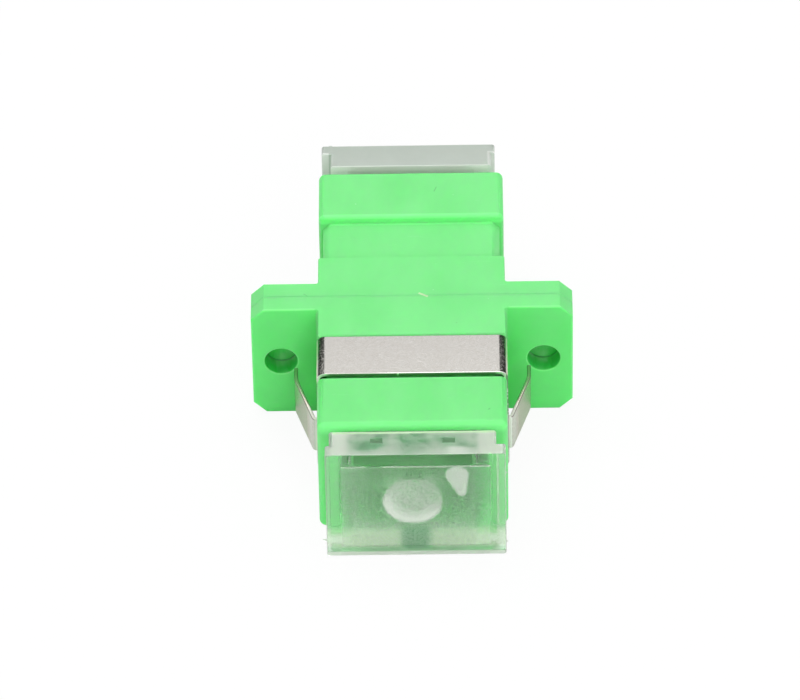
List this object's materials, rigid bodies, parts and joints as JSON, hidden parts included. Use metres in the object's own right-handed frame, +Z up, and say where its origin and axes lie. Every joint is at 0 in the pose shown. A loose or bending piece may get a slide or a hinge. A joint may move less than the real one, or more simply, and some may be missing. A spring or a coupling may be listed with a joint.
{
  "type": "fibre optic adapter",
  "caption": "Flanged simplex fibre optic adapter with a spring clip for snapping into a panel and a dust cap in each port.",
  "frame": {"origin": "on the fibre's axis, in the seam between the two housing halves, at the middle of the part", "axes": "+X across the flange, +Y along the fibre from the clip's half to the other, +Z up from the flat underside"},
  "size_m": [0.022, 0.0322, 0.0094],
  "materials": {
    "housing": "satin moulded green plastic",
    "latch_insert": "satin moulded green plastic",
    "sleeve": "ground zirconia ceramic",
    "clip": "bright rolled spring steel",
    "dust_cap": "translucent polyethylene, frosted on the pad"
  },
  "bodies": {
    "adapter": {"front_housing": "housing", "rear_housing": "housing", "front_latch_insert": "latch_insert", "rear_latch_insert": "latch_insert", "split_sleeve": "sleeve", "panel_clip": "clip"},
    "front_cap": {"front_dust_cap": "dust_cap"},
    "rear_cap": {"rear_dust_cap": "dust_cap"}
  },
  "joints": [
    {"name": "front_cap_pull", "type": "slide", "parent": "adapter", "child": "front_cap", "axis": [0, -1, 0], "range_m": [0, 0.016]},
    {"name": "rear_cap_pull", "type": "slide", "parent": "adapter", "child": "rear_cap", "axis": [0, 1, 0], "range_m": [0, 0.016]}
  ]
}
